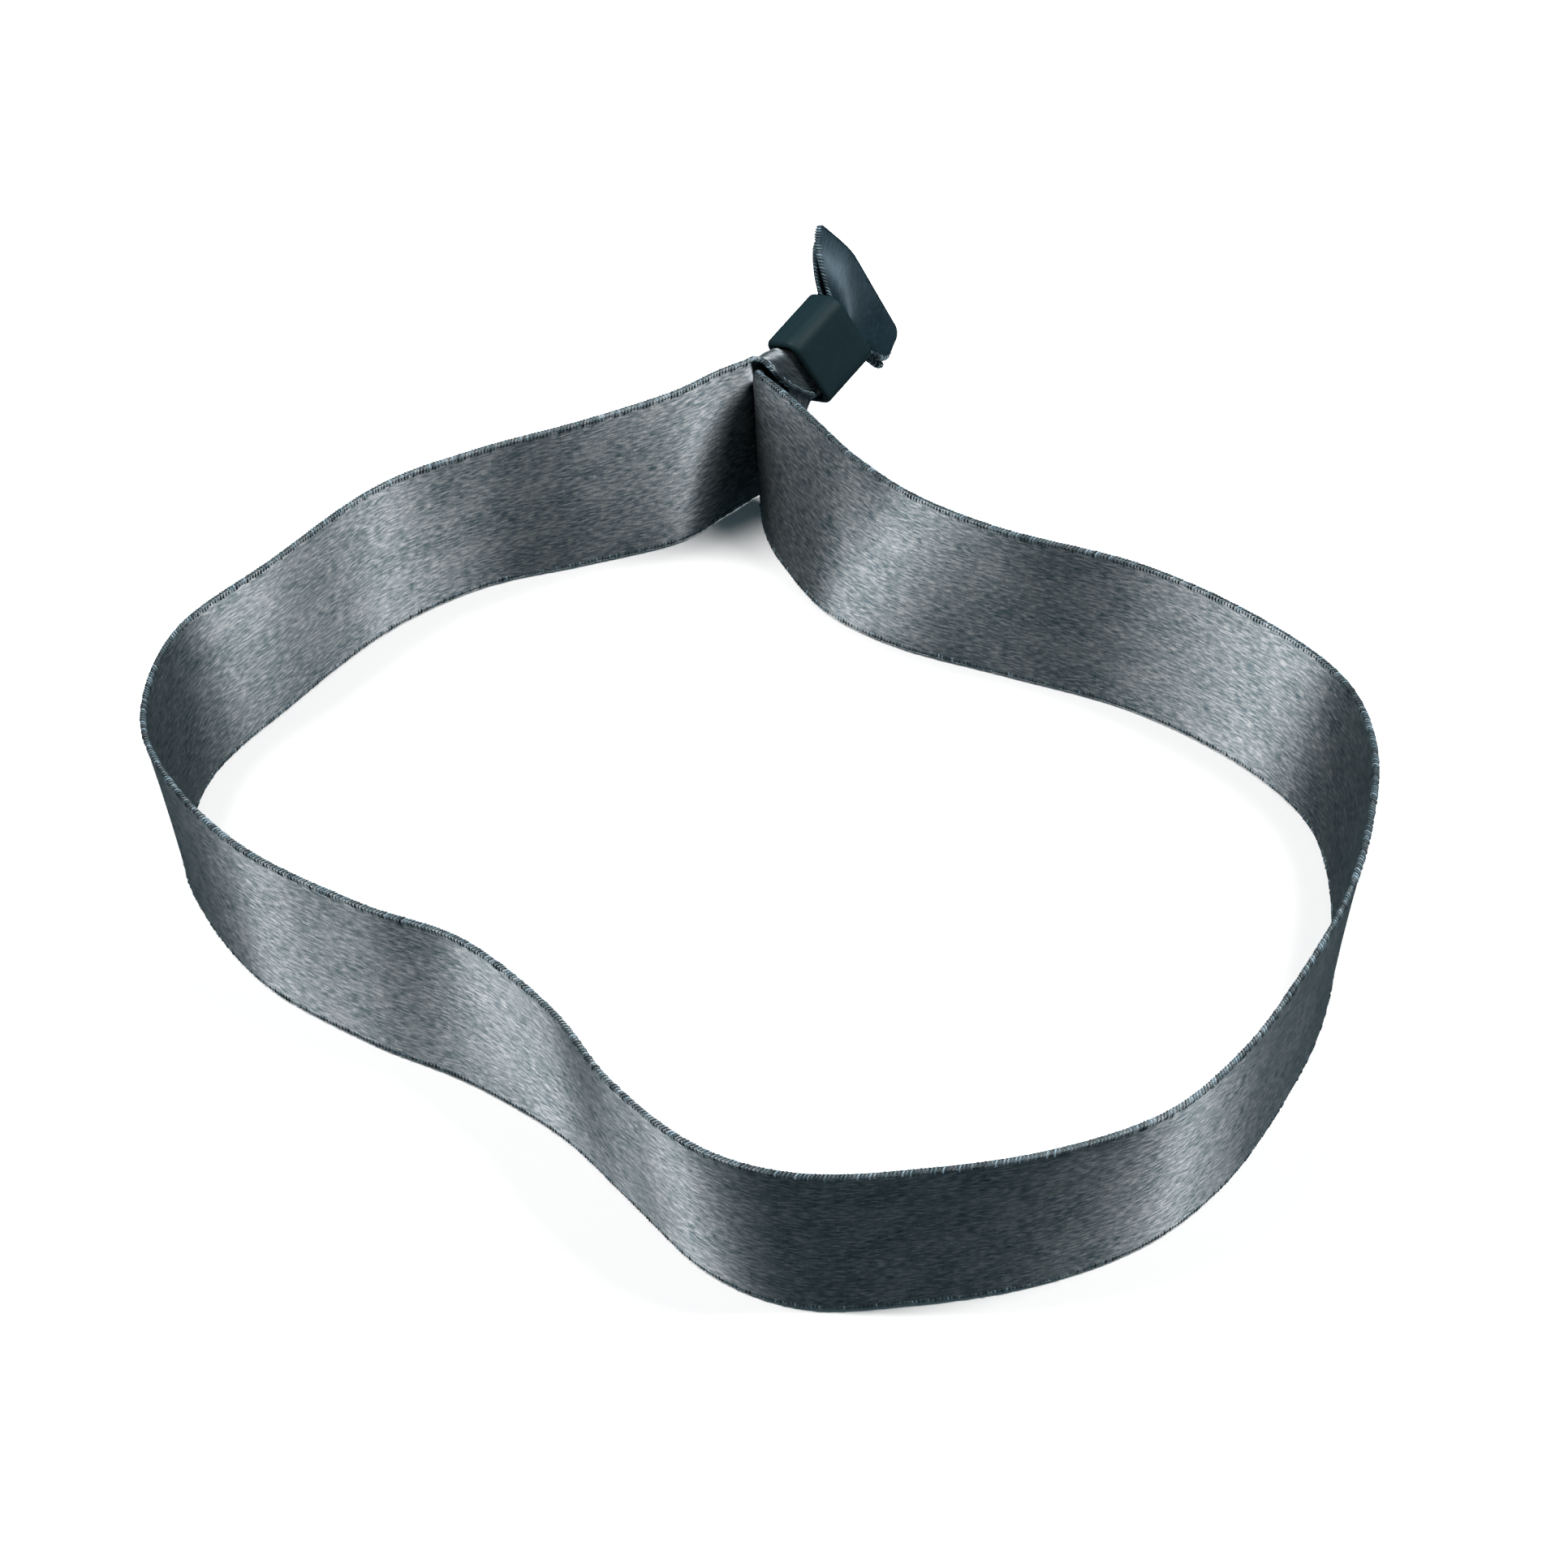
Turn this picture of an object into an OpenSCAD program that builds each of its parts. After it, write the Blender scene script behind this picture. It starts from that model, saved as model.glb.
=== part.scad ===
// Ribbon wristband: one satin ribbon whose two ends are gathered through a moulded slide closure.
// It stands on the ribbon's lower edge, +X to its right, +Y towards the closure, +Z up.

/* [Ribbon] */
// Width of the woven ribbon
ribbon_w = 15; // [14:0.5:16]
// Thickness of the ribbon
ribbon_t = 0.4; // [0.3:0.05:0.45]
// Swept steps between two points of the route
route_steps = 5; // [2:1:8]

/* [Gathered ends] */
// Width of the gathered ribbon inside the closure
gather_w = 5.4; // [5:0.1:5.5]
// Thickness of one gathered end, which is folded into three layers
gather_t = 1.22; // [1:0.02:1.24]
// Length of the right tail beyond the closure, at the middle of its width
tail_right_l = 5.1; // [4.5:0.1:6.5]
// Length of the left tail beyond the closure, at the middle of its width
tail_left_l = 2.7; // [2.2:0.1:3.5]

/* [Closure] */
// Length of the closure along the ribbon
closure_l = 6.4; // [6:0.1:7]
// Outer width of the closure
closure_w = 7.2; // [7.1:0.1:8]
// Outer thickness of the closure
closure_t = 4.3; // [4.2:0.1:5]
// Radius of the closure's outer corners
corner_r = 1.2; // [0.9:0.1:1.5]
// Wall beside the narrow ends of the slot
wall_side = 0.8; // [0.7:0.05:0.8]
// Wall over the broad faces of the slot
wall_face = 0.7; // [0.6:0.05:0.75]
// Depth of the lead-in around both ends of the slot
lead_in = 0.25; // [0.1:0.05:0.3]

/* [Grip teeth] */
// Teeth in each row
tooth_count = 4; // [2:1:5]
// Distance between two teeth
tooth_pitch = 1.2; // [1:0.1:1.2]
// Height of a tooth above the slot's face
tooth_h = 0.16; // [0.1:0.01:0.18]
// Length of a tooth along the ribbon
tooth_l = 0.7; // [0.4:0.1:0.8]

/* [Closure place] */
// Direction in plan, from +X towards +Y
closure_azimuth = 50; // [48:1:52]
// Rise of the axis above level
closure_pitch = 17; // [15:1:19]
// Roll about its own axis
closure_roll = -25; // [-28:1:-22]

/* [Hidden] */

$fn = 32;
overlap = 0.01;
ribbon_colour = [0.28, 0.31, 0.34];
closure_colour = [0.05, 0.08, 0.08];

// Centre of the closure's mouth, where both gathered ends go in
mouth = [3.5, 45.8, 10];
slot_w = closure_w - 2 * wall_side;
slot_t = closure_t - 2 * wall_face;
slot_r = 0.5;
// Middle of each gathered end, off the closure's middle plane
gather_offset = gather_t / 2 + overlap;

// Route of the band, from the left side of the neck round the wearer's side to its right side:
// lower edge x and y, then how far the upper edge leans out in x and y
route = [
    [-0.5, 41, -0.5, 0], [-3, 38.5, -0.5, 1], [-7, 35, -0.5, 1.5], [-15, 32, 0, 0.5],
    [-23.5, 29, -0.5, -0.5], [-31.5, 23, -0.5, 0.5], [-39, 13.5, -1, 0.5], [-45, 4.5, -2, 1],
    [-46.5, -4.5, -2.5, 0], [-44.5, -12, -2, -0.5], [-39, -20.5, -1, -0.5], [-30.5, -27, 0, -0.5],
    [-22.5, -31.5, 0, 0], [-15, -37.5, -0.5, -1.5], [-9.5, -44.5, -1.5, -2], [-3.5, -52, -1, -1.5],
    [3.5, -55.5, -0.5, -1], [12.5, -55, 0, -1], [21.5, -53, 0.5, -1], [29.5, -49, 1, -1],
    [35.5, -43, 1, -0.5], [40, -35.5, 1, -0.5], [44, -26.5, 1.5, 0], [46, -17.5, 2, 0],
    [46.5, -8.5, 2.5, 0], [45, -1, 2, 0.5], [39.5, 6.5, 1, 0.5], [31, 13, 0.5, 0.5],
    [20.5, 17.5, 0, 0.5], [12, 21, 1.5, 1.5], [6, 25.5, 2.5, 2.5], [2.5, 31.5, 2.5, 1.5],
    [1, 35.5, 1.5, 1], [0.5, 39.5, -0.5, 0]
];

// Smooth curve through a list of points of any dimension
function through(a, b, c, d, u) =
    0.5 * (2 * b + (c - a) * u + (2 * a - 5 * b + 4 * c - d) * u^2 + (3 * b - a - 3 * c + d) * u^3);
function with_ends(p) = concat([2 * p[0] - p[1]], p, [2 * p[len(p) - 1] - p[len(p) - 2]]);
function smooth_route(p, steps) =
    let (q = with_ends(p), last = len(p) - 1)
    concat(
        [for (i = [0:last - 1]) for (k = [0:steps - 1])
            through(q[i], q[i + 1], q[i + 2], q[i + 3], k / steps)],
        [p[last]]
    );

function unit(v) = v / norm(v);
function ends_at(i, n) = [max(i - 1, 0), min(i + 1, n - 1)];
// Level direction across an edge of the ribbon, towards the inside of the loop
function across(edge, i) =
    let (e = ends_at(i, len(edge)), d = unit(edge[e[1]] - edge[e[0]])) [-d[1], d[0], 0];
function lower_edge(stations) = [for (s = stations) [s[0], s[1], 0]];
function upper_edge(stations) =
    [for (s = stations) [s[0] + s[2], s[1] + s[3], sqrt(ribbon_w^2 - s[2]^2 - s[3]^2)]];

stations = smooth_route(route, route_steps);
lower = lower_edge(stations);
upper = upper_edge(stations);
// Four corners of the ribbon's section: lower inside, lower outside, upper outside, upper inside
function band_section(i) =
    let (low = across(lower, i) * ribbon_t / 2, up = across(upper, i) * ribbon_t / 2)
    [lower[i] + low, lower[i] - low, upper[i] - up, upper[i] + up];
band_sections = [for (i = [0:len(stations) - 1]) band_section(i)];

// The closure's own axes: along the ribbon, across its thickness, and up its width
function turned(v) =
    let (
        cr = cos(closure_roll), sr = sin(closure_roll),
        cp = cos(closure_pitch), sp = sin(closure_pitch),
        ca = cos(closure_azimuth), sa = sin(closure_azimuth),
        a = [v[0], v[1] * cr - v[2] * sr, v[1] * sr + v[2] * cr],
        b = [a[0] * cp - a[2] * sp, a[1], a[0] * sp + a[2] * cp]
    )
    [b[0] * ca - b[1] * sa, b[0] * sa + b[1] * ca, b[2]];
function at_closure(v) = mouth + turned(v);

// A section in the closure's axes: centre, half sizes, tilt about the closure's axis,
// and how much further along the upper edge stands
function closure_section(along, side, up, w, t, tilt, skew) =
    [for (c = [[-1, 1], [-1, -1], [1, -1], [1, 1]])
        at_closure([
            along + skew * c[0] / 2,
            side + c[1] * t / 2 - c[0] * w / 2 * sin(tilt),
            up + c[0] * w / 2 * cos(tilt)
        ])];
function gather_section(along, side) =
    closure_section(along, side * gather_offset, 0, gather_w, gather_t, 0, 0);

// Corner by corner blend from one section to another, leaving and arriving along given ways
function blend_point(p, dp, q, dq, u) =
    (2 * u^3 - 3 * u^2 + 1) * p + (u^3 - 2 * u^2 + u) * dp + (3 * u^2 - 2 * u^3) * q + (u^3 - u^2) * dq;
function blend_sections(first, leave, second, arrive, steps) =
    [for (k = [0:steps])
        [for (c = [0:3]) blend_point(first[c], leave, second[c], arrive, k / steps)]];

module swept(sections) {
    n = len(sections);
    polyhedron(
        points = [for (s = sections) each s],
        faces = concat(
            [[3, 2, 1, 0]],
            [for (i = [0:n - 2]) for (k = [0:3])
                let (a = 4 * i + k, b = 4 * i + (k + 1) % 4)
                each [[a, b + 4, a + 4], [a, b, b + 4]]],
            [[4 * n - 4, 4 * n - 3, 4 * n - 2, 4 * n - 1]]
        )
    );
}

neck_steps = 8;
axis_dir = turned([1, 0, 0]);
// How strongly each neck keeps its heading where it leaves the band and where it meets the mouth
left_band_pull = 3;
left_mouth_pull = 5;
right_band_pull = 1;
right_mouth_pull = 6;
// The same for a tail, where it leaves the closure
tail_pull = 3;

// A section with its inside and outside corners exchanged
function swapped(s) = [s[1], s[0], s[3], s[2]];

module ribbon_loop() {
    color(ribbon_colour) swept(band_sections);
}

// The left end runs almost straight from the band into the closure
module ribbon_neck_left() {
    arrive = unit(lower[1] - lower[0]) * left_band_pull;
    leave = -axis_dir * left_mouth_pull;
    color(ribbon_colour)
        swept(blend_sections(swapped(gather_section(0, 1)), leave, band_sections[0], arrive, neck_steps));
}

// The right end turns back on itself and goes in beside it
module ribbon_neck_right() {
    last = len(stations) - 1;
    leave = unit(lower[last] - lower[last - 1]) * right_band_pull;
    arrive = axis_dir * right_mouth_pull;
    color(ribbon_colour)
        swept(blend_sections(band_sections[last], leave, gather_section(0, -1), arrive, neck_steps));
}

module ribbon_gather(side) {
    color(ribbon_colour) swept([gather_section(0, side), gather_section(closure_l, side)]);
}
module ribbon_gather_left() { ribbon_gather(1); }
module ribbon_gather_right() { ribbon_gather(-1); }

// Beyond the closure each end opens out again to its full width and stops at a straight cut.
// The cut's middle drifts off the axis by drift and rises by rise, and the cut is tilted and skewed
module ribbon_tail(side, length, drift, rise, tilt, skew) {
    cut = closure_section(closure_l + length, drift, rise, ribbon_w, ribbon_t, tilt, skew);
    leave = axis_dir * tail_pull;
    arrive = turned([length, drift, 0]);
    color(ribbon_colour)
        swept(blend_sections(gather_section(closure_l, side), leave, cut, arrive, neck_steps));
}
module ribbon_tail_left() {
    ribbon_tail(side = 1, length = tail_left_l, drift = 1.7, rise = 0.2, tilt = 1, skew = 1.2);
}
module ribbon_tail_right() {
    ribbon_tail(side = -1, length = tail_right_l, drift = 1.3, rise = 0.6, tilt = 10, skew = -0.8);
}

module rounded_rectangle(w, t, r) {
    square([w - 2 * r, t], center = true);
    square([w, t - 2 * r], center = true);
    for (x = [-1, 1]) for (y = [-1, 1])
        translate([x * (w / 2 - r), y * (t / 2 - r)]) circle(r);
}

// Stands a shape drawn in the closure's own axes where the closure is
module placed_on_closure() {
    translate(mouth) rotate([closure_roll, -closure_pitch, closure_azimuth]) children();
}

module closure_sleeve() {
    color(closure_colour) placed_on_closure() rotate([90, 0, 90]) difference() {
        linear_extrude(closure_l) rounded_rectangle(closure_t, closure_w, corner_r);
        translate([0, 0, -1]) linear_extrude(closure_l + 2) rounded_rectangle(slot_t, slot_w, slot_r);
        for (z = [-1, closure_l - lead_in]) translate([0, 0, z]) linear_extrude(lead_in + 1)
            rounded_rectangle(slot_t + 2 * lead_in, slot_w + 2 * lead_in, slot_r + lead_in);
    }
}

// Ramps that let the ribbon slide towards the loop and hold it the other way
module tooth_row() {
    first = (closure_l - (tooth_count - 1) * tooth_pitch - tooth_l) / 2;
    width = slot_w - 2 * slot_r;
    for (i = [0:tooth_count - 1])
        translate([first + i * tooth_pitch, slot_t / 2, -width / 2]) linear_extrude(width)
            polygon([[0, 0], [tooth_l, 0], [tooth_l, -tooth_h]]);
}
module closure_teeth() {
    color(closure_colour) placed_on_closure() {
        tooth_row();
        mirror([0, 1, 0]) tooth_row();
    }
}

ribbon_loop();
ribbon_neck_left();
ribbon_neck_right();
ribbon_gather_left();
ribbon_gather_right();
ribbon_tail_left();
ribbon_tail_right();
closure_sleeve();
closure_teeth();
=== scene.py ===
import math
import bpy
from mathutils import Matrix, Vector


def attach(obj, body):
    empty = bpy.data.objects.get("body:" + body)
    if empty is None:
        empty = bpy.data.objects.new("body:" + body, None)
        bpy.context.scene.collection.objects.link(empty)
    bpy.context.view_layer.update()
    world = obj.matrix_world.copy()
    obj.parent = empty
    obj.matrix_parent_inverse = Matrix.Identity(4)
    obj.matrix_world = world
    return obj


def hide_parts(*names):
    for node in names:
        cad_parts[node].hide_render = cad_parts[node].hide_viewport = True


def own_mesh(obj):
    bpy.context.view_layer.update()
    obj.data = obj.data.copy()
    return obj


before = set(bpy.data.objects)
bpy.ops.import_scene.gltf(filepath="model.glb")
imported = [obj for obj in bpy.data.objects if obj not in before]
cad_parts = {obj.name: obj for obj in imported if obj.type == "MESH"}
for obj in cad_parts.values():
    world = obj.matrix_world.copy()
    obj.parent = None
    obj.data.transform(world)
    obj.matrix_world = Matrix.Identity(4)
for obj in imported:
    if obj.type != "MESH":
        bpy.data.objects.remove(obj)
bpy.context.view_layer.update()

mm = 0.001
print("frame loaded")


# the ribbon as it is cut, in mm
ribbon = {
    "width": 15.0,
    "thickness": 0.38,
    "cutLength": 325.0,    # both ends together with the loop
    "rowStep": 1.0,        # between two rows of the weave's mesh round the loop
    "acrossCells": 60,     # cells from one selvedge to the other
    "crown": 0.10,         # how far the middle of the width bows towards the inside
}

# lower edge x and y, then how far the upper edge leans out in x and y, all in mm
routeRows = [
    [-0.5, 41, -0.5, 0], [-3, 38.5, -0.5, 1], [-7, 35, -0.5, 1.5], [-15, 32, 0, 0.5],
    [-23.5, 29, -0.5, -0.5], [-31.5, 23, -0.5, 0.5], [-39, 13.5, -1, 0.5], [-45, 4.5, -2, 1],
    [-46.5, -4.5, -2.5, 0], [-44.5, -12, -2, -0.5], [-39, -20.5, -1, -0.5], [-30.5, -27, 0, -0.5],
    [-22.5, -31.5, 0, 0], [-15, -37.5, -0.5, -1.5], [-9.5, -44.5, -1.5, -2], [-3.5, -52, -1, -1.5],
    [3.5, -55.5, -0.5, -1], [12.5, -55, 0, -1], [21.5, -53, 0.5, -1], [29.5, -49, 1, -1],
    [35.5, -43, 1, -0.5], [40, -35.5, 1, -0.5], [44, -26.5, 1.5, 0], [46, -17.5, 2, 0],
    [46.5, -8.5, 2.5, 0], [45, -1, 2, 0.5], [39.5, 6.5, 1, 0.5], [31, 13, 0.5, 0.5],
    [20.5, 17.5, 0, 0.5], [12, 21, 1.5, 1.5], [6, 25.5, 2.5, 2.5], [2.5, 31.5, 2.5, 1.5],
    [1, 35.5, 1.5, 1], [0.5, 39.5, -0.5, 0],
]

# the moulded closure, in mm and degrees, as the CAD has it
closure = {
    "mouth": Vector((3.5, 45.8, 10.0)),
    "azimuth": 50, "pitch": 17, "roll": -25,
    "length": 6.4, "width": 7.2, "thickness": 4.3, "corner": 1.2,
    "slotWidth": 5.6, "slotThickness": 2.9, "slotCorner": 0.5,
}
closureTurn = (Matrix.Rotation(math.radians(closure["azimuth"]), 3, "Z")
               @ Matrix.Rotation(math.radians(-closure["pitch"]), 3, "Y")
               @ Matrix.Rotation(math.radians(closure["roll"]), 3, "X"))
alongSlot, acrossSlot, upSlot = (closureTurn.col[k].copy() for k in range(3))


def atClosure(x, y, z):
    return closure["mouth"] + closureTurn @ Vector((x, y, z))


def mix(a, b, t):
    return a * (1 - t) + b * t


def ease(x, low, high):
    u = min(1.0, max(0.0, (x - low) / (high - low)))
    return u * u * (3 - 2 * u)


def hermite(p, dp, q, dq, u):
    point = (p * (2 * u ** 3 - 3 * u ** 2 + 1) + dp * (u ** 3 - 2 * u ** 2 + u)
             + q * (3 * u ** 2 - 2 * u ** 3) + dq * (u ** 3 - u ** 2))
    heading = (p * (6 * u ** 2 - 6 * u) + dp * (3 * u ** 2 - 4 * u + 1)
               + q * (6 * u - 6 * u ** 2) + dq * (3 * u ** 2 - 2 * u))
    return point, heading.normalized()


def smoothRoute(points, steps):
    first = [2 * a - b for a, b in zip(points[0], points[1])]
    last = [2 * a - b for a, b in zip(points[-1], points[-2])]
    padded = [first] + points + [last]
    out = []
    for i in range(len(points) - 1):
        corners = padded[i:i + 4]
        for k in range(steps):
            u = k / steps
            out.append([0.5 * (2 * b + (c - a) * u + (2 * a - 5 * b + 4 * c - d) * u ** 2
                               + (3 * b - a - 3 * c + d) * u ** 3) for a, b, c, d in zip(*corners)])
    return out + [points[-1]]


acrossStep = ribbon["width"] / ribbon["acrossCells"]
widths = [acrossStep * k for k in range(ribbon["acrossCells"] + 1)]
middleCell = ribbon["acrossCells"] // 2


# rows of points run across the ribbon, from its lower selvedge to its upper one
def bandRow(station, heading):
    low = Vector((station[0], station[1], 0))
    rise = Vector((station[2], station[3], 0))
    rise.z = math.sqrt(ribbon["width"] ** 2 - rise.length_squared)
    inside = Vector((-heading.y, heading.x, 0)).normalized()
    row = []
    for w in widths:
        share = w / ribbon["width"]
        row.append(low + rise * share + inside * ribbon["crown"] * 4 * share * (1 - share))
    return row


def loopRows():
    fine = smoothRoute(routeRows, 12)
    lengths = [0.0]
    for a, b in zip(fine, fine[1:]):
        lengths.append(lengths[-1] + math.dist(a[:2], b[:2]))
    count = round(lengths[-1] / ribbon["rowStep"])
    rows, k = [], 0
    for i in range(count + 1):
        goal = lengths[-1] * i / count
        while k < len(fine) - 2 and lengths[k + 1] < goal:
            k += 1
        u = (goal - lengths[k]) / (lengths[k + 1] - lengths[k])
        station = [mix(a, b, u) for a, b in zip(fine[k], fine[k + 1])]
        heading = Vector((fine[k + 1][0] - fine[k][0], fine[k + 1][1] - fine[k][1], 0))
        rows.append(bandRow(station, heading))
    return rows


gather = {
    "neckSteps": 28,
    "slotSteps": 12,
    "slotLength": 6.0,     # of each gathered end inside the slot
}

# Each fold is the middle of its turn across the width, the turn's length and its angle. On the way
# to the mouth the folds walk in from the selvedges, with the turns of "loose". The walks are shares
# of that way, and the pulls, swell and bulge shape it
leftEnd = {
    "lower": (4.41, 0.66, -math.pi), "upper": (9.82, 2.64, -math.pi), "loose": (1.2, 3.2),
    "panelMiddle": 6.62, "offset": 0.63, "rise": -0.32, "squeeze": 1.0, "swell": 0.2,
    "bandPull": 4.5, "mouthPull": 5.0, "lowerWalk": (0.3, 1.0), "upperWalk": (-0.1, 1.0),
    "bulge": Vector((0, 0.5, 0.2)), "crownSide": -1,
}
rightEnd = {
    "lower": (4.75, 1.30, math.pi), "upper": (9.95, 0.66, -math.pi), "loose": (1.6, 1.0),
    "panelMiddle": 7.4, "offset": 0.20, "rise": -0.2, "squeeze": 0.94, "swell": 0.0,
    "bandPull": 3.0, "mouthPull": 6.0, "lowerWalk": (0.0, 0.9), "upperWalk": (-0.1, 0.75),
    "bulge": Vector((0, 0, 0)), "crownSide": 1,
}


def foldedSection(lower, upper, squeeze):
    angles = []
    for w in widths:
        below = 1 - min(1.0, max(0.0, (w - lower[0]) / lower[1] + 0.5))
        above = min(1.0, max(0.0, (w - upper[0]) / upper[1] + 0.5))
        angles.append(lower[2] * below + upper[2] * above)
    section = [(0.0, 0.0)]
    for a, b in zip(angles, angles[1:]):
        turn = (a + b) / 2
        y, z = section[-1]
        step = acrossStep * squeeze
        section.append((y + math.sin(turn) * step, z + math.cos(turn) * step))
    return section


def around(section, middle):
    k = int(middle / acrossStep)
    u = middle / acrossStep - k
    y0 = mix(section[k][0], section[k + 1][0], u)
    z0 = mix(section[k][1], section[k + 1][1], u)
    return [(y - y0, z - z0) for y, z in section]


def neckRows(end, bandRowAtNeck, heading):
    start = (bandRowAtNeck[0] + bandRowAtNeck[-1]) / 2
    bandUp = (bandRowAtNeck[-1] - bandRowAtNeck[0]).normalized()
    goal = atClosure(0, end["offset"], end["rise"])
    rows = []
    for k in range(1, gather["neckSteps"] + 1):
        s = k / gather["neckSteps"]
        centre, forward = hermite(start, heading * end["bandPull"], goal, alongSlot * end["mouthPull"], s)
        share = ease(s, 0, 1)
        tight = ease(s, 0.8, 1.0)
        lowerTurn = mix(end["loose"][0], end["lower"][1], tight)
        upperTurn = mix(end["loose"][1], end["upper"][1], tight)
        lowerAt = mix(-lowerTurn / 2, end["lower"][0], ease(s, *end["lowerWalk"]))
        upperAt = mix(ribbon["width"] + upperTurn / 2, end["upper"][0], ease(s, *end["upperWalk"]))
        lower = (lowerAt, lowerTurn, end["lower"][2])
        upper = (upperAt, upperTurn, end["upper"][2])
        section = foldedSection(lower, upper, mix(1.0, end["squeeze"], share))
        full = ease(s, 0.35, 0.85) * (1 - ease(s, 0.9, 1.0))
        swell = 1 + end["swell"] * full
        centre = centre + closureTurn @ end["bulge"] * full
        up = mix(bandUp, upSlot, share).normalized()
        side = up.cross(forward).normalized()
        middle = mix(ribbon["width"] / 2, end["panelMiddle"], share)
        crown = ribbon["crown"] * end["crownSide"] * (1 - ease(s, 0, 0.5))
        row = []
        for w, (y, z) in zip(widths, around(section, middle)):
            bow = crown * 4 * (w / ribbon["width"]) * (1 - w / ribbon["width"])
            row.append(centre + side * (y * swell + bow) + up * z * swell)
        rows.append(row)
    return rows


def gatherRows(end):
    section = around(foldedSection(end["lower"], end["upper"], end["squeeze"]), end["panelMiddle"])
    rows = []
    for k in range(1, gather["slotSteps"] + 1):
        x = gather["slotLength"] * k / gather["slotSteps"]
        rows.append([atClosure(x, end["offset"] + y, end["rise"] + z) for y, z in section])
    return rows


def mainRows():
    band = loopRows()
    leftHeading = (band[0][middleCell] - band[1][middleCell]).normalized()
    rightHeading = (band[-1][middleCell] - band[-2][middleCell]).normalized()
    left = neckRows(leftEnd, band[0], leftHeading) + gatherRows(leftEnd)
    right = neckRows(rightEnd, band[-1], rightHeading) + gatherRows(rightEnd)
    return left[::-1] + band + right


# The tails are gathered to the slot's width where they leave the closure and fan out to their cuts.
# Corners are in the closure's own axes, from the middle of its exit. "gathered" is half the width
# there, and "keep" is what is left of the tail's height when the closure is fully out
leftTail = {
    "lowCorner": (2.05, 1.85, -7.0), "highCorner": (3.3, 1.2, 6.5), "cornerRadius": 0.3,
    "gathered": 2.55, "offset": 0.75, "pleat": 0.22, "pleats": 2.5, "turn": 0.6,
    "leave": 1.2, "arrive": 1.6, "flareLow": 5.0, "flareHigh": 7.0, "curl": 0.3,
    "steps": 12, "keep": 0.36,
}
rightTail = {
    "lowCorner": (5.5, 2.5, -6.8), "highCorner": (4.8, 0.0, 7.1), "cornerRadius": 1.4,
    "gathered": 2.55, "offset": -0.75, "pleat": 0.26, "pleats": 2.0, "turn": 2.2,
    "leave": 2.6, "arrive": 4.0, "flareLow": 11.5, "flareHigh": 10.0, "curl": 1.6,
    "steps": 16, "keep": 0.40,
}
tailStart = -0.45    # inside the closure, in mm from its exit
highCornerRadius = 0.3


def tailRows(tail):
    low, high = Vector(tail["lowCorner"]), Vector(tail["highCorner"])
    aim = Vector(((low.x + high.x) / 2, (low.y + high.y) / 2 - tail["offset"], 0)).normalized()
    shares = [tailStart / closure["length"]] + [k / tail["steps"] for k in range(tail["steps"] + 1)]
    rows = []
    for s in shares:
        row = []
        for w in widths:
            t = w / ribbon["width"]
            wave = tail["pleat"] * math.sin(math.tau * tail["pleats"] * t + tail["turn"])
            start = Vector((0, tail["offset"] + wave, tail["gathered"] * (2 * t - 1)))
            end = low.lerp(high, t)
            end.y += tail["curl"] * ease(t, 0.72, 1.15) * 2
            gap = min(w, ribbon["width"] - w)
            radius = tail["cornerRadius"] if t < 0.5 else highCornerRadius
            if gap < radius:
                end.x -= radius - math.sqrt(radius ** 2 - (radius - gap) ** 2)
            leave = Vector((tail["leave"], 0, mix(tail["flareLow"], tail["flareHigh"], t) * (2 * t - 1)))
            if s < 0:
                point = start + Vector((s * closure["length"], 0, 0))
            else:
                point, _ = hermite(start, leave, end, aim * tail["arrive"], s)
            row.append(atClosure(closure["length"] + point.x, point.y, point.z))
        rows.append(row)
    return rows


def sheetMesh(name, rows):
    across = len(rows[0])
    verts = [p * mm for row in rows for p in row]
    faces, lengths = [], [0.0]
    for a, b in zip(rows, rows[1:]):
        lengths.append(lengths[-1] + (a[middleCell] - b[middleCell]).length)
    for i in range(len(rows) - 1):
        for j in range(across - 1):
            k = i * across + j
            faces.append((k, k + 1, k + across + 1, k + across))
    mesh = bpy.data.meshes.new(name)
    mesh.from_pydata(verts, [], faces)
    uv = mesh.uv_layers.new(name="weave")
    for loop in mesh.loops:
        i, j = divmod(loop.vertex_index, across)
        uv.data[loop.index].uv = (lengths[i] / ribbon["cutLength"], widths[j] / ribbon["cutLength"])
    edge = mesh.attributes.new("selvedge", "FLOAT", "POINT")
    inward = mesh.attributes.new("inward", "FLOAT_VECTOR", "POINT")
    for i, row in enumerate(rows):
        for j in (0, across - 1):
            edge.data[i * across + j].value = 1.0
            toInside = (row[1] - row[0]) if j == 0 else (row[-2] - row[-1])
            inward.data[i * across + j].vector = toInside.normalized()
    for polygon in mesh.polygons:
        polygon.use_smooth = True
    piece = bpy.data.objects.new(name, mesh)
    bpy.context.collection.objects.link(piece)
    return piece


def settled(piece, name):
    graph = bpy.context.evaluated_depsgraph_get()
    mesh = bpy.data.meshes.new_from_object(piece.evaluated_get(graph))
    mesh.name = name
    out = bpy.data.objects.new(name, mesh)
    bpy.context.collection.objects.link(out)
    return out


def thickened(sheet, name, material):
    solid = sheet.modifiers.new("ribbon thickness", "SOLIDIFY")
    solid.thickness = ribbon["thickness"] * mm
    solid.offset = 0
    solid.use_even_offset = False
    piece = settled(sheet, name)
    sheet.modifiers.remove(solid)
    piece.data.materials.clear()
    piece.data.materials.append(material)
    return piece


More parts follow.
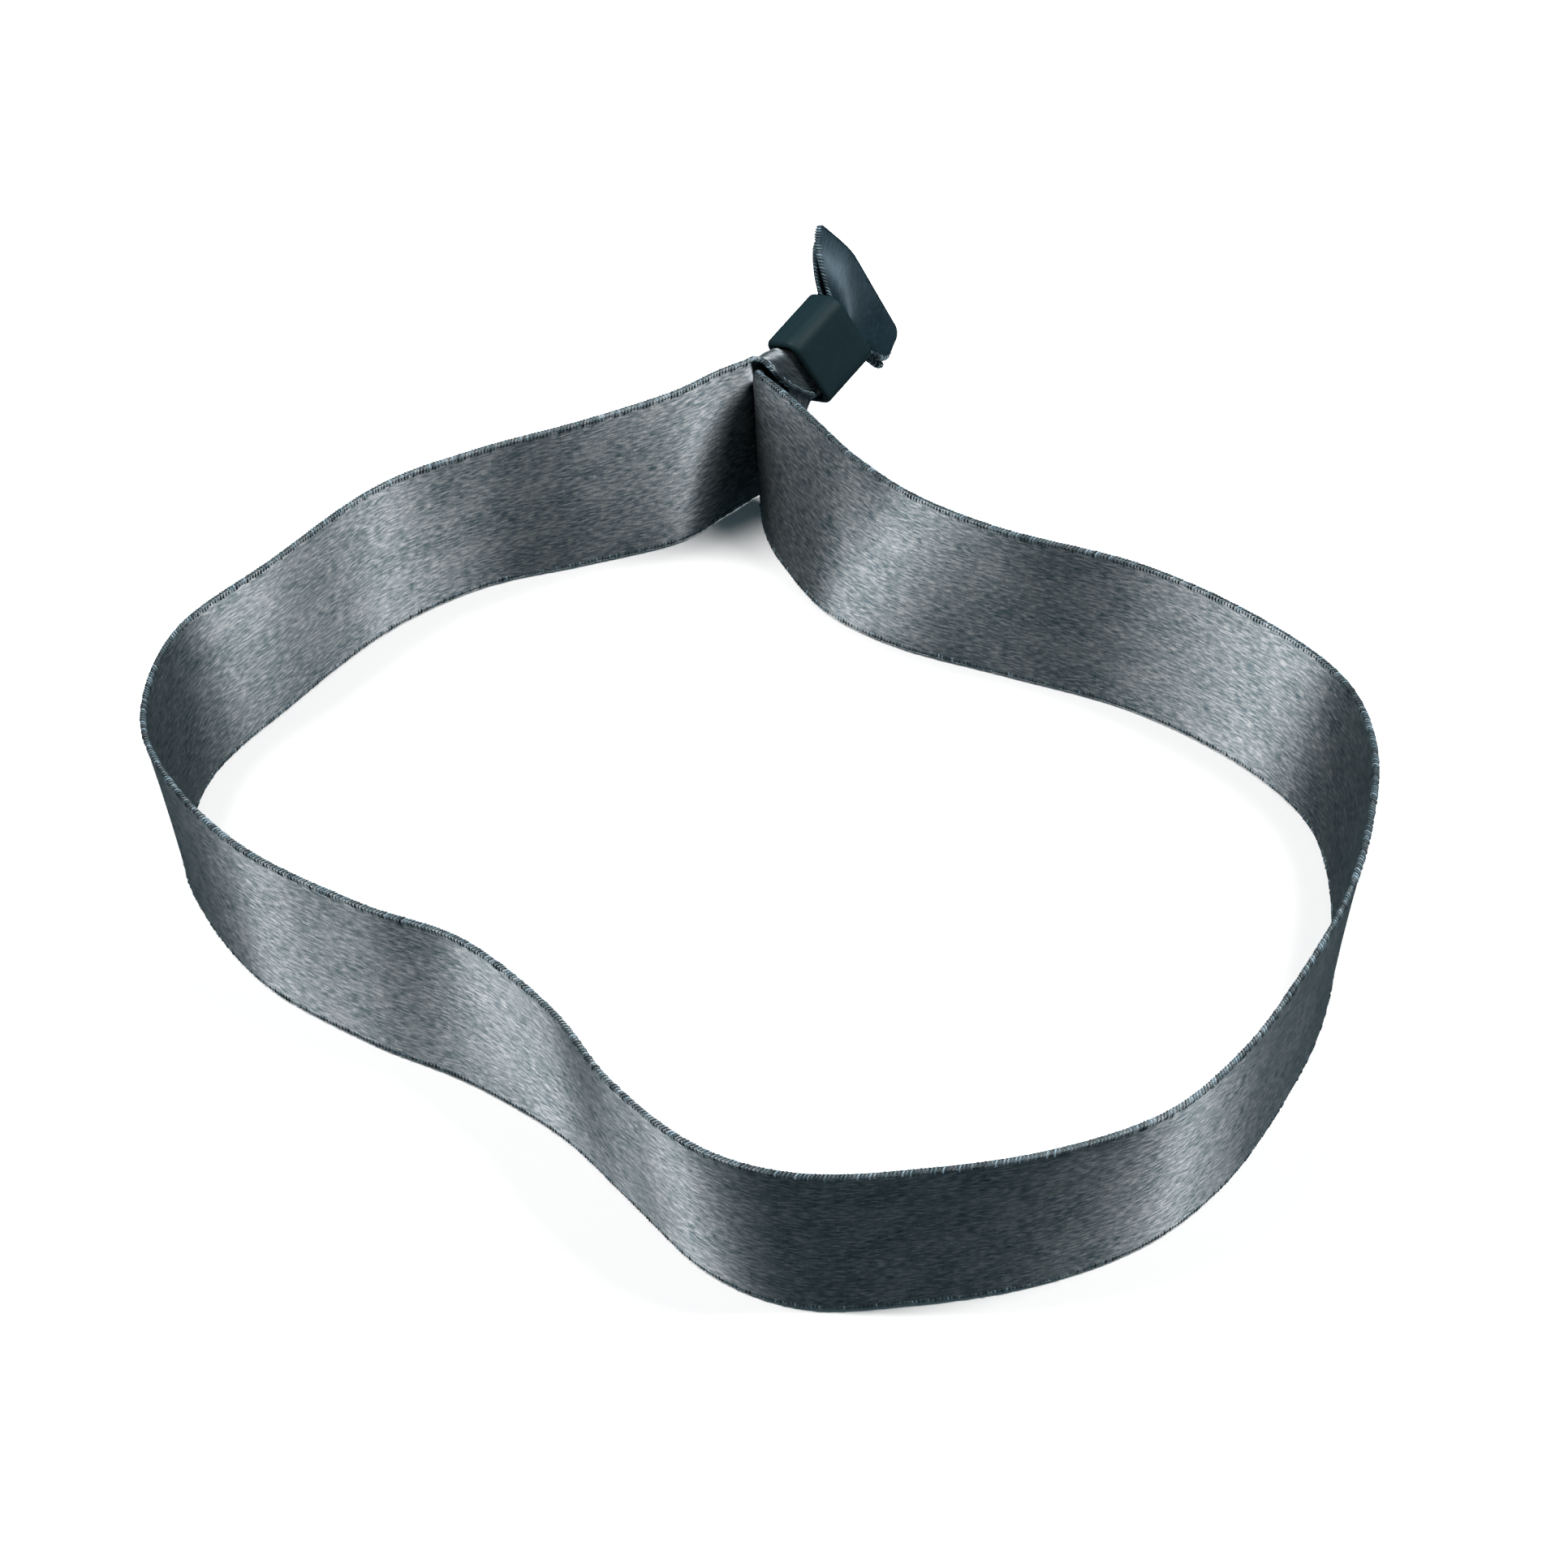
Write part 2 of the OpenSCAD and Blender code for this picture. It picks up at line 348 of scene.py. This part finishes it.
# loops of weft along the selvedges
weftLoop = {
    "pitch": 0.30,      # mm between two loops
    "thread": 0.07,    # radius of a thread
    "reach": 0.24,      # half of the loop's width across the ribbon
    "height": 0.21,     # half of its height through the ribbon
    "slant": 0.14,      # how far each side is shifted along the ribbon
    "inset": 0.17,      # from the edge to the middle of the loop
    "seed": 7,
}


def weftTree():
    tree = bpy.data.node_groups.new("weft loops on a selvedge", "GeometryNodeTree")
    face = tree.interface
    face.new_socket("Sheet", in_out="INPUT", socket_type="NodeSocketGeometry")
    for label in ("Pitch", "Thread", "Reach", "Height", "Slant", "Inset"):
        face.new_socket(label, in_out="INPUT", socket_type="NodeSocketFloat")
    face.new_socket("Seed", in_out="INPUT", socket_type="NodeSocketInt")
    face.new_socket("Thread Finish", in_out="INPUT", socket_type="NodeSocketMaterial")
    face.new_socket("Loops", in_out="OUTPUT", socket_type="NodeSocketGeometry")
    nodes, links = tree.nodes, tree.links

    def add(kind, **settings):
        node = nodes.new(kind)
        for key, value in settings.items():
            setattr(node, key, value)
        return node

    def join(a, b):
        links.new(a, b)

    entry = add("NodeGroupInput")
    leave = add("NodeGroupOutput")

    # edge points with the fabric's own directions
    normal = add("GeometryNodeInputNormal")
    keepNormal = add("GeometryNodeStoreNamedAttribute", data_type="FLOAT_VECTOR", domain="POINT")
    keepNormal.inputs["Name"].default_value = "faceOut"
    join(entry.outputs["Sheet"], keepNormal.inputs["Geometry"])
    join(normal.outputs[0], keepNormal.inputs["Value"])
    flag = add("GeometryNodeInputNamedAttribute", data_type="FLOAT")
    flag.inputs["Name"].default_value = "selvedge"
    onEdge = add("FunctionNodeCompare", data_type="FLOAT", operation="GREATER_THAN")
    onEdge.inputs["B"].default_value = 0.9
    join(flag.outputs["Attribute"], onEdge.inputs["A"])
    toCurve = add("GeometryNodeMeshToCurve")
    join(keepNormal.outputs[0], toCurve.inputs["Mesh"])
    join(onEdge.outputs[0], toCurve.inputs["Selection"])
    spaced = add("GeometryNodeResampleCurve", mode="LENGTH")
    join(toCurve.outputs[0], spaced.inputs["Curve"])
    join(entry.outputs["Pitch"], spaced.inputs["Length"])

    # one slanted loop of thread
    ring = add("GeometryNodeCurvePrimitiveCircle")
    ring.inputs["Resolution"].default_value = 9
    ring.inputs["Radius"].default_value = 1.0
    place = add("GeometryNodeInputPosition")
    parts = add("ShaderNodeSeparateXYZ")
    join(place.outputs[0], parts.inputs[0])
    shaped = add("ShaderNodeCombineXYZ")
    for source, target, size in (("Y", "X", "Slant"), ("X", "Y", "Reach"), ("Y", "Z", "Height")):
        times = add("ShaderNodeMath", operation="MULTIPLY")
        join(parts.outputs[source], times.inputs[0])
        join(entry.outputs[size], times.inputs[1])
        if target == "Y":
            plus = add("ShaderNodeMath", operation="ADD")
            join(times.outputs[0], plus.inputs[0])
            join(entry.outputs["Inset"], plus.inputs[1])
            times = plus
        join(times.outputs[0], shaped.inputs[target])
    oval = add("GeometryNodeSetPosition")
    join(ring.outputs[0], oval.inputs["Geometry"])
    join(shaped.outputs[0], oval.inputs["Position"])
    profile = add("GeometryNodeCurvePrimitiveCircle")
    profile.inputs["Resolution"].default_value = 5
    join(entry.outputs["Thread"], profile.inputs["Radius"])
    thread = add("GeometryNodeCurveToMesh")
    join(oval.outputs[0], thread.inputs["Curve"])
    join(profile.outputs[0], thread.inputs["Profile Curve"])

    # turned to the fabric: Y into the width, Z out of its face
    inward = add("GeometryNodeInputNamedAttribute", data_type="FLOAT_VECTOR")
    inward.inputs["Name"].default_value = "inward"
    faceOut = add("GeometryNodeInputNamedAttribute", data_type="FLOAT_VECTOR")
    faceOut.inputs["Name"].default_value = "faceOut"
    alignY = add("FunctionNodeAlignRotationToVector", axis="Y")
    join(inward.outputs["Attribute"], alignY.inputs["Vector"])
    alignZ = add("FunctionNodeAlignRotationToVector", axis="Z", pivot_axis="Y")
    join(alignY.outputs[0], alignZ.inputs["Rotation"])
    join(faceOut.outputs["Attribute"], alignZ.inputs["Vector"])
    size = add("FunctionNodeRandomValue", data_type="FLOAT")
    size.inputs[2].default_value = 0.86
    size.inputs[3].default_value = 1.14
    join(entry.outputs["Seed"], size.inputs["Seed"])
    laid = add("GeometryNodeInstanceOnPoints")
    join(spaced.outputs[0], laid.inputs["Points"])
    join(thread.outputs[0], laid.inputs["Instance"])
    join(alignZ.outputs[0], laid.inputs["Rotation"])
    join(size.outputs[1], laid.inputs["Scale"])
    tone = add("FunctionNodeRandomValue", data_type="FLOAT")
    plusOne = add("ShaderNodeMath", operation="ADD")
    plusOne.inputs[1].default_value = 1
    join(entry.outputs["Seed"], plusOne.inputs[0])
    join(plusOne.outputs[0], tone.inputs["Seed"])
    keepTone = add("GeometryNodeStoreNamedAttribute", data_type="FLOAT", domain="INSTANCE")
    keepTone.inputs["Name"].default_value = "tone"
    join(laid.outputs[0], keepTone.inputs["Geometry"])
    join(tone.outputs[1], keepTone.inputs["Value"])
    real = add("GeometryNodeRealizeInstances")
    join(keepTone.outputs[0], real.inputs[0])
    smooth = add("GeometryNodeSetShadeSmooth")
    join(real.outputs[0], smooth.inputs[0])
    finish = add("GeometryNodeSetMaterial")
    join(smooth.outputs[0], finish.inputs["Geometry"])
    join(entry.outputs["Thread Finish"], finish.inputs["Material"])
    join(finish.outputs[0], leave.inputs[0])
    return tree


def weftLoops(sheet, tree, name, material):
    made = sheet.modifiers.new("weft loops", "NODES")
    made.node_group = tree
    values = {"Pitch": weftLoop["pitch"] * mm, "Thread": weftLoop["thread"] * mm,
              "Reach": weftLoop["reach"] * mm, "Height": weftLoop["height"] * mm,
              "Slant": weftLoop["slant"] * mm, "Inset": weftLoop["inset"] * mm,
              "Seed": weftLoop["seed"], "Thread Finish": material}
    for socket in tree.interface.items_tree:
        if socket.item_type == "SOCKET" and socket.in_out == "INPUT" and socket.name in values:
            made[socket.identifier] = values[socket.name]
    piece = settled(sheet, name)
    sheet.modifiers.remove(made)
    return piece


# satin on the loop, and a duller copy on the tails whose darkened colours are painted shade
satin = {
    "deep": (0.030, 0.055, 0.066), "lit": (0.275, 0.284, 0.292), "patch": 0.15,
    "metallic": 0.9, "roughness": 0.55, "anisotropy": 1.0,
}
# the tails' satin: its deep and lit colours are painted darker to stand in for shade on the tails
shadedTailSatin = {
    "deep": (0.005, 0.014, 0.020), "lit": (0.021, 0.042, 0.058), "patch": 0.15,
    "metallic": 0.6, "roughness": 0.6, "anisotropy": 0.9,
}


def newFinish(name):
    finish = bpy.data.materials.new(name)
    finish.use_nodes = True
    tree = finish.node_tree
    return finish, tree, tree.nodes["Principled BSDF"]


def satinFinish(name, look):
    finish, tree, shader = newFinish(name)
    nodes, links = tree.nodes, tree.links
    place = nodes.new("ShaderNodeUVMap")
    place.uv_map = "weave"
    inMm = nodes.new("ShaderNodeMapping")
    inMm.inputs["Scale"].default_value = (ribbon["cutLength"], ribbon["cutLength"], 1)
    links.new(place.outputs[0], inMm.inputs[0])

    floats = nodes.new("ShaderNodeTexBrick")      # the warp's long floats
    floats.offset = 0.38
    floats.offset_frequency = 2
    floats.inputs["Scale"].default_value = 1.0
    floats.inputs["Brick Width"].default_value = 0.7
    floats.inputs["Row Height"].default_value = 0.13
    floats.inputs["Mortar Size"].default_value = 0.014
    floats.inputs["Mortar Smooth"].default_value = 0.6
    floats.inputs["Color1"].default_value = (0.25, 0.25, 0.25, 1)
    floats.inputs["Color2"].default_value = (1, 1, 1, 1)
    floats.inputs["Mortar"].default_value = (0.1, 0.1, 0.1, 1)
    links.new(inMm.outputs[0], floats.inputs[0])

    def noise(scale, detail, stretch):
        turn = nodes.new("ShaderNodeMapping")
        turn.inputs["Scale"].default_value = (stretch, 1, 1)
        links.new(inMm.outputs[0], turn.inputs[0])
        made = nodes.new("ShaderNodeTexNoise")
        made.inputs["Scale"].default_value = scale
        made.inputs["Detail"].default_value = detail
        links.new(turn.outputs[0], made.inputs["Vector"])
        return made

    streaks = noise(6.0, 3.0, 0.22)
    patches = noise(0.35, 3.0, 0.7)

    def ramp(source, low, high, bottom, top):
        made = nodes.new("ShaderNodeMapRange")
        made.inputs["From Min"].default_value = low
        made.inputs["From Max"].default_value = high
        made.inputs["To Min"].default_value = bottom
        made.inputs["To Max"].default_value = top
        links.new(source, made.inputs["Value"])
        return made.outputs[0]

    blend = nodes.new("ShaderNodeMix")
    blend.data_type = "RGBA"
    blend.inputs["A"].default_value = (*look["deep"], 1)
    blend.inputs["B"].default_value = (*look["lit"], 1)
    amount = nodes.new("ShaderNodeMath")
    amount.operation = "MULTIPLY_ADD"
    links.new(ramp(streaks.outputs["Fac"], 0.3, 0.7, 0, 1), amount.inputs[0])
    links.new(ramp(floats.outputs["Color"], 0, 1, 0.15, 1.3), amount.inputs[1])
    uneven = ramp(patches.outputs["Fac"], 0.3, 0.7, -0.5 * look["patch"], look["patch"])
    links.new(uneven, amount.inputs[2])
    links.new(amount.outputs[0], blend.inputs["Factor"])
    links.new(blend.outputs["Result"], shader.inputs["Base Color"])

    links.new(ramp(streaks.outputs["Fac"], 0.25, 0.75, look["roughness"] - 0.07,
                   look["roughness"] + 0.08), shader.inputs["Roughness"])
    shader.inputs["Metallic"].default_value = look["metallic"]
    shader.inputs["Anisotropic"].default_value = look["anisotropy"]
    shader.inputs["Anisotropic Rotation"].default_value = 0.25
    tangent = nodes.new("ShaderNodeTangent")
    tangent.direction_type = "UV_MAP"
    tangent.uv_map = "weave"
    links.new(tangent.outputs[0], shader.inputs["Tangent"])

    bump = nodes.new("ShaderNodeBump")
    bump.inputs["Strength"].default_value = 0.35
    bump.inputs["Distance"].default_value = 0.00004
    links.new(floats.outputs["Fac"], bump.inputs["Height"])
    bump.invert = True
    links.new(bump.outputs[0], shader.inputs["Normal"])
    return finish


def selvedgeFinish():
    finish, tree, shader = newFinish("selvedge thread")
    nodes, links = tree.nodes, tree.links
    tone = nodes.new("ShaderNodeAttribute")
    tone.attribute_name = "tone"
    ramp = nodes.new("ShaderNodeValToRGB")
    ramp.color_ramp.elements[0].color = (0.006, 0.012, 0.016, 1)
    ramp.color_ramp.elements[1].color = (0.15, 0.21, 0.25, 1)
    mid = ramp.color_ramp.elements.new(0.75)
    mid.color = (0.05, 0.085, 0.10, 1)
    links.new(tone.outputs["Fac"], ramp.inputs[0])
    links.new(ramp.outputs[0], shader.inputs["Base Color"])
    shader.inputs["Roughness"].default_value = 0.5
    shader.inputs["Metallic"].default_value = 0.2
    return finish


def plasticFinish():
    finish, tree, shader = newFinish("black moulded plastic")
    nodes, links = tree.nodes, tree.links
    place = nodes.new("ShaderNodeTexCoord")
    grain = nodes.new("ShaderNodeTexNoise")
    grain.inputs["Scale"].default_value = 4000
    grain.inputs["Detail"].default_value = 2
    links.new(place.outputs["Object"], grain.inputs["Vector"])
    ramp = nodes.new("ShaderNodeValToRGB")
    ramp.color_ramp.elements[0].color = (0.002, 0.008, 0.010, 1)
    ramp.color_ramp.elements[1].color = (0.004, 0.014, 0.018, 1)
    links.new(grain.outputs["Fac"], ramp.inputs[0])
    links.new(ramp.outputs[0], shader.inputs["Base Color"])
    shader.inputs["Roughness"].default_value = 0.6
    shader.inputs["Specular IOR Level"].default_value = 0.1
    bump = nodes.new("ShaderNodeBump")
    bump.inputs["Strength"].default_value = 0.2
    bump.inputs["Distance"].default_value = 0.00002
    links.new(grain.outputs["Fac"], bump.inputs["Height"])
    links.new(bump.outputs[0], shader.inputs["Normal"])
    return finish


sleeve = {
    "cornerSteps": 8, "sideSteps": 8,
    # distance from the end face, then the share of the way through the wall
    "lip": [(0.40, 0.0), (0.22, 0.05), (0.09, 0.17), (0.01, 0.36),
            (0.0, 0.52), (0.05, 0.70), (0.14, 0.86), (0.30, 1.0)],
    "lipInset": 1.2,
    "seamWidth": 0.12, "seamRise": 0.05,    # mould line along both narrow sides
}


def roundedOutline(width, thickness, radius, perCorner, perSide):
    def onCorner(corner, degrees):
        cy, cz, _ = corner
        angle = math.radians(degrees)
        return (cy * (thickness / 2 - radius) + math.cos(angle) * radius,
                cz * (width / 2 - radius) + math.sin(angle) * radius)

    corners = [(1, 1, 0), (-1, 1, 90), (-1, -1, 180), (1, -1, 270)]
    points = []
    for corner, following in zip(corners, corners[1:] + corners[:1]):
        for k in range(perCorner + 1):
            points.append(onCorner(corner, corner[2] + 90 * k / perCorner))
        begin, end = points[-1], onCorner(following, following[2])
        for k in range(1, perSide):     # straight side to the next corner
            points.append((mix(begin[0], end[0], k / perSide), mix(begin[1], end[1], k / perSide)))
    return points


def sleeveMesh(name, material):
    outer = roundedOutline(closure["width"], closure["thickness"], closure["corner"],
                           sleeve["cornerSteps"], sleeve["sideSteps"])
    inner = roundedOutline(closure["slotWidth"], closure["slotThickness"], closure["slotCorner"],
                           sleeve["cornerSteps"], sleeve["sideSteps"])
    length = closure["length"]
    lip, inset = sleeve["lip"], sleeve["lipInset"]
    profile = lip[::-1] + [(inset, 0.0), (length / 2, 0.0), (length - inset, 0.0)]
    profile += [(length - x, q) for x, q in lip]
    profile += [(length - inset, 1.0), (length / 2, 1.0), (inset, 1.0)]
    verts, faces = [], []
    n = len(outer)
    for x, q in profile:
        for (oy, oz), (iy, iz) in zip(outer, inner):
            y, z = mix(oy, iy, q), mix(oz, iz, q)
            if q == 0.0 and abs(y) < sleeve["seamWidth"]:
                z *= 1 + sleeve["seamRise"] / abs(z)
            verts.append(atClosure(x, y, z) * mm)
    rows = len(profile)
    for i in range(rows):
        for j in range(n):
            a, b = i * n + j, i * n + (j + 1) % n
            c, d = ((i + 1) % rows) * n + (j + 1) % n, ((i + 1) % rows) * n + j
            faces.append((a, b, c, d))
    mesh = bpy.data.meshes.new(name)
    mesh.from_pydata(verts, [], faces)
    for polygon in mesh.polygons:
        polygon.use_smooth = True
    mesh.materials.append(material)
    piece = bpy.data.objects.new(name, mesh)
    bpy.context.collection.objects.link(piece)
    return piece


satinCloth = satinFinish("charcoal satin", satin)
shadedTailCloth = satinFinish("tail satin with painted shade", shadedTailSatin)
selvedgeThread, blackPlastic = selvedgeFinish(), plasticFinish()

mainSheet = sheetMesh("main-sheet", mainRows())
leftSheet = sheetMesh("left-sheet", tailRows(leftTail))
rightSheet = sheetMesh("right-sheet", tailRows(rightTail))
tree = weftTree()
print("sheets laid out")

ribbonPiece = thickened(mainSheet, "ribbon", satinCloth)
selvedgePiece = weftLoops(mainSheet, tree, "ribbon-selvedges", selvedgeThread)
leftTailPiece = thickened(leftSheet, "ribbon-tail-left", shadedTailCloth)
rightTailPiece = thickened(rightSheet, "ribbon-tail-right", shadedTailCloth)
leftTailLoops = weftLoops(leftSheet, tree, "ribbon-tail-left-selvedges", selvedgeThread)
rightTailLoops = weftLoops(rightSheet, tree, "ribbon-tail-right-selvedges", selvedgeThread)
for sheet in (mainSheet, leftSheet, rightSheet):
    bpy.data.objects.remove(sheet)
sleevePiece = sleeveMesh("closure-sleeve", blackPlastic)
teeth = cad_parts["closure_teeth"]
teeth.data.materials.clear()
teeth.data.materials.append(blackPlastic)
print("pieces made")

for piece in (ribbonPiece, selvedgePiece, leftTailPiece, rightTailPiece, leftTailLoops, rightTailLoops):
    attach(piece, "ribbon")
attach(sleevePiece, "closure")
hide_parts("ribbon_loop", "ribbon_neck_left", "ribbon_neck_right",
            "ribbon_gather_left", "ribbon_gather_right")
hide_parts("ribbon_tail_left")
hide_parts("ribbon_tail_right")
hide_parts("closure_sleeve")
for piece, keep in ((leftTailPiece, leftTail["keep"]), (leftTailLoops, leftTail["keep"]),
                    (rightTailPiece, rightTail["keep"]), (rightTailLoops, rightTail["keep"])):
    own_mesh(piece)


studio = {
    "target": Vector((0.0005, -0.0095, 0.0075)), "distance": 0.45, "elevation": 42, "lens": 129.1,
    "shiftX": 0.0135, "shiftY": 0.0228,
    # name, place, size, power and colour of each light
    "lights": [("overhead left", (-0.75, 0.0, 1.05), (0.2, 0.8), 32, (1.0, 0.98, 0.97)),
               ("overhead right", (0.75, 0.0, 1.05), (0.2, 0.8), 32, (1.0, 0.98, 0.97)),
               ("front fill", (0.0, -1.3, 0.9), (1.0, 0.5), 1.0, (1, 1, 1))],
    "room": (0.4, 0.82, 1.0, 1), "roomStrength": 0.17, "backdrop": (0.95, 0.95, 0.95, 1),
    "floorHalf": 1.2, "floorDrop": 0.0003, "floorTone": (0.6, 0.6, 0.6, 1),
}


def setCamera():
    lens = bpy.data.cameras.new("camera")
    lens.lens = studio["lens"]
    lens.sensor_width = 36
    lens.shift_x = studio["shiftX"]
    lens.shift_y = studio["shiftY"]
    lens.clip_start = 0.01
    lens.clip_end = 20
    cam = bpy.data.objects.new("camera", lens)
    bpy.context.collection.objects.link(cam)
    rise = math.radians(studio["elevation"])
    cam.location = studio["target"] + Vector((0, -math.cos(rise), math.sin(rise))) * studio["distance"]
    cam.rotation_euler = (math.radians(90) - rise, 0, 0)
    bpy.context.scene.camera = cam


def softLight(name, place, size, power, colour):
    light = bpy.data.lights.new(name, "AREA")
    light.shape = "RECTANGLE"
    light.size, light.size_y = size
    light.energy = power
    light.color = colour
    lamp = bpy.data.objects.new(name, light)
    bpy.context.collection.objects.link(lamp)
    lamp.location = place
    lamp.rotation_euler = (-Vector(place)).to_track_quat("-Z", "Y").to_euler()


def setStudio():
    for light in studio["lights"]:
        softLight(*light)
    world = bpy.data.worlds.new("pale room")
    world.use_nodes = True
    nodes, links = world.node_tree.nodes, world.node_tree.links
    dim = nodes["Background"]
    dim.inputs[0].default_value = studio["room"]
    dim.inputs[1].default_value = studio["roomStrength"]
    backdrop = nodes.new("ShaderNodeBackground")      # what shows beyond the floor
    backdrop.inputs[0].default_value = studio["backdrop"]
    rays = nodes.new("ShaderNodeLightPath")
    either = nodes.new("ShaderNodeMixShader")
    links.new(rays.outputs["Is Camera Ray"], either.inputs[0])
    links.new(dim.outputs[0], either.inputs[1])
    links.new(backdrop.outputs[0], either.inputs[2])
    links.new(either.outputs[0], nodes["World Output"].inputs[0])
    bpy.context.scene.world = world
    half = studio["floorHalf"]
    mesh = bpy.data.meshes.new("floor")
    mesh.from_pydata([(-half, -half, 0), (half, -half, 0), (half, half, 0), (-half, half, 0)], [],
                     [(0, 1, 2, 3)])
    floor = bpy.data.objects.new("floor", mesh)
    floor.location.z = -studio["floorDrop"]
    bpy.context.collection.objects.link(floor)
    pale, _, shader = newFinish("pale floor")
    shader.inputs["Base Color"].default_value = studio["floorTone"]
    shader.inputs["Roughness"].default_value = 0.9
    shader.inputs["Specular IOR Level"].default_value = 0.0
    mesh.materials.append(pale)
    floor.visible_glossy = False      # the satin would mirror it
    bpy.context.scene.view_settings.view_transform = "Standard"


setCamera()
setStudio()
print("studio set")
